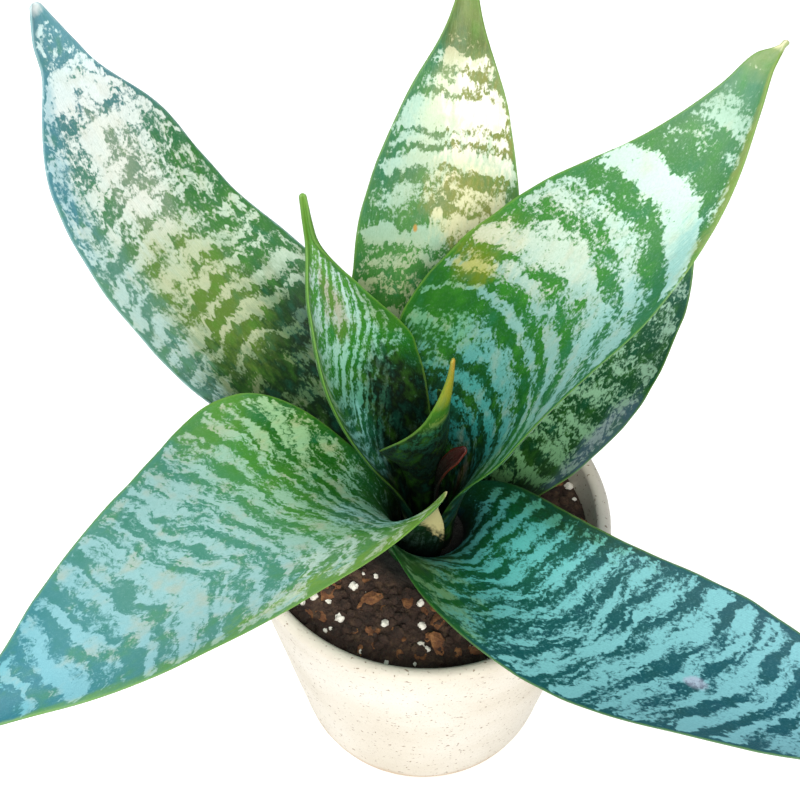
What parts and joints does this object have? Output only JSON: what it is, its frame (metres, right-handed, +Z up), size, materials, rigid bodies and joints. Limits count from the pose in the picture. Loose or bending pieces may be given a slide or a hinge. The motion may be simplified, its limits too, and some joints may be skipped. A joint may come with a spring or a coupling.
{
  "type": "potted snake plant",
  "caption": "Low rosette snake plant with broad channelled leaves, deep green with pale cross bands, in a small plain pale pot of soil",
  "frame": {"origin": "middle of the pot's flat underside", "axes": "+Z up, out of the pot; +X to the right and +Y away, seen from the plant's front"},
  "size_m": [0.209, 0.1954, 0.2122],
  "materials": {
    "pot_ceramic": "matt pale stoneware, slightly speckled",
    "potting_soil": "dark crumbly potting soil",
    "rhizome_skin": "dull orange brown bark-like skin",
    "banded_leaf": "waxy deep green leaf with ragged pale silver-mint cross bands and a thin yellow-green margin",
    "red_scale": "dark red papery scale with a thin orange margin"
  },
  "bodies": {
    "root": {"pot": "pot_ceramic", "soil": "potting_soil", "rhizome": "rhizome_skin", "leaf_top_left": "banded_leaf", "leaf_top_back": "banded_leaf", "leaf_young_curled": "banded_leaf", "leaf_top_right": "banded_leaf", "leaf_low_left": "banded_leaf", "leaf_low_right": "banded_leaf", "leaf_back_right": "banded_leaf", "leaf_newest": "banded_leaf", "scale_leaf": "red_scale"}
  },
  "joints": []
}
